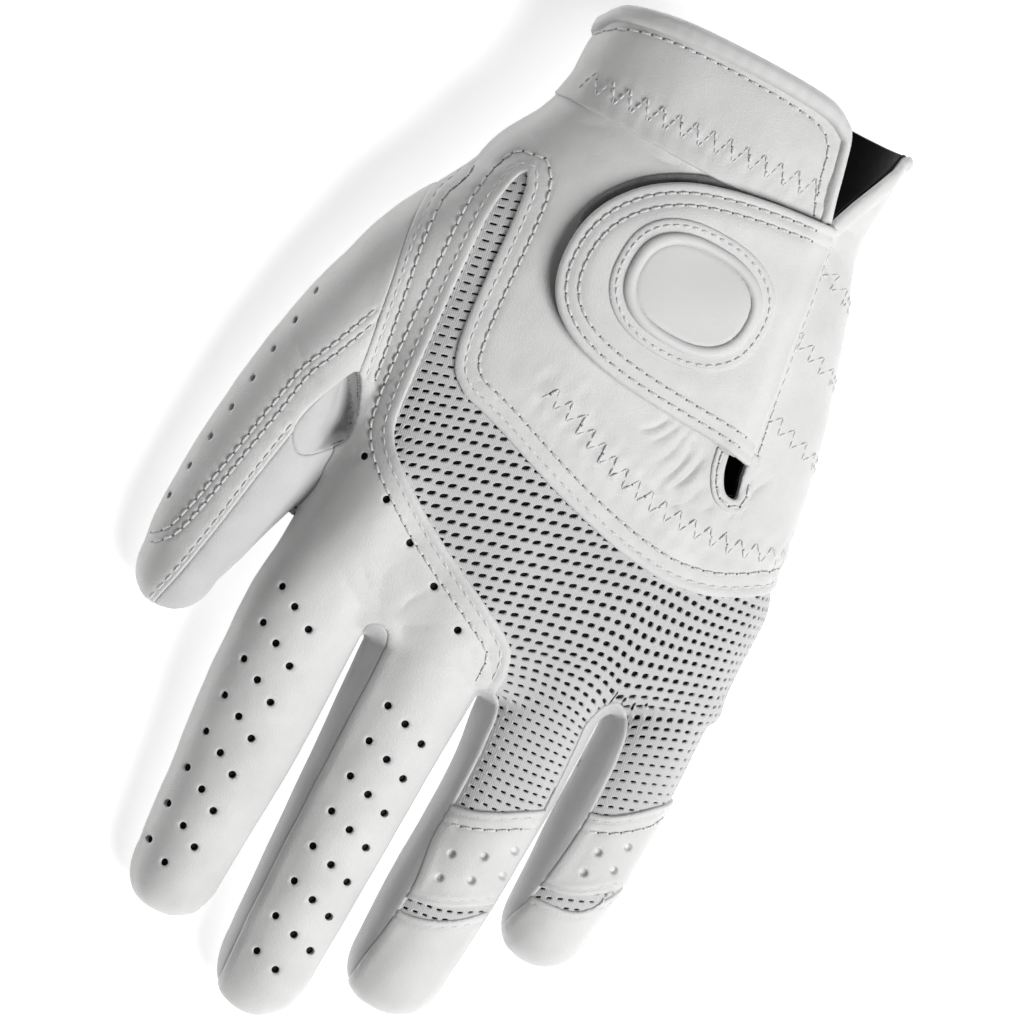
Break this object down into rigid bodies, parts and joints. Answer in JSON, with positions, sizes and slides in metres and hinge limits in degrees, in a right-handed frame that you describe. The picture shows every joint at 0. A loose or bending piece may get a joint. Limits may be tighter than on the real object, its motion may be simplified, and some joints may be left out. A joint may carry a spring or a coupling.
{
  "type": "golf glove",
  "caption": "Left-hand golf glove in pale leather with a knitted back insert, an elastic cuff and a wrist tab that opens on a fabric hinge.",
  "frame": {"origin": "under the centre of the bounding box, on the surface that the palm rests on", "axes": "+Y from the fingertips to the wrist opening, +X towards the little finger, +Z out of the back of the hand"},
  "size_m": [0.1246, 0.216, 0.042],
  "materials": {
    "leather": "fine-grained matt",
    "mesh": "open knitted mesh",
    "side_leather": "fine-grained matt",
    "elastic": "woven",
    "lining": "brushed black",
    "loops": "fuzzy loops",
    "hooks": "moulded hooks",
    "badge": "soft moulded",
    "badge_field": "soft moulded"
  },
  "bodies": {
    "glove": {"palm_leather": "leather", "index_front": "leather", "middle_front": "leather", "ring_front": "leather", "little_front": "leather", "back_leather": "leather", "index_back": "leather", "middle_back": "leather", "back_mesh": "mesh", "ring_knuckle_band": "leather", "ring_flex_mesh": "mesh", "ring_tip_cap": "leather", "little_knuckle_band": "leather", "little_flex_mesh": "mesh", "little_tip_cap": "leather", "side_strip_index_middle": "side_leather", "side_strip_middle_ring": "side_leather", "side_strip_ring_little": "side_leather", "thumb_back": "leather", "thumb_front": "leather", "thumb_gusset": "side_leather", "inner_lining": "lining", "cuff_elastic": "elastic", "back_elastic": "elastic", "side_elastics": "elastic", "cuff_band": "leather", "cuff_binding": "leather", "palm_cuff_hem": "leather", "slit_binding": "leather", "keyhole_facing": "leather", "loop_patch": "loops", "tab_base": "leather"},
    "tab": {"tab_leather": "leather", "tab_backing": "leather", "hook_patch": "hooks", "badge_backing": "leather", "badge_rim": "badge", "badge_field": "badge_field"}
  },
  "joints": [
    {"name": "tab_hinge", "type": "hinge", "parent": "glove", "child": "tab", "pos_m": [0.02992, 0.03753, 0.03785], "axis": [-0.1685, 0.9852, 0.0316], "range_deg": [0, 150]}
  ]
}
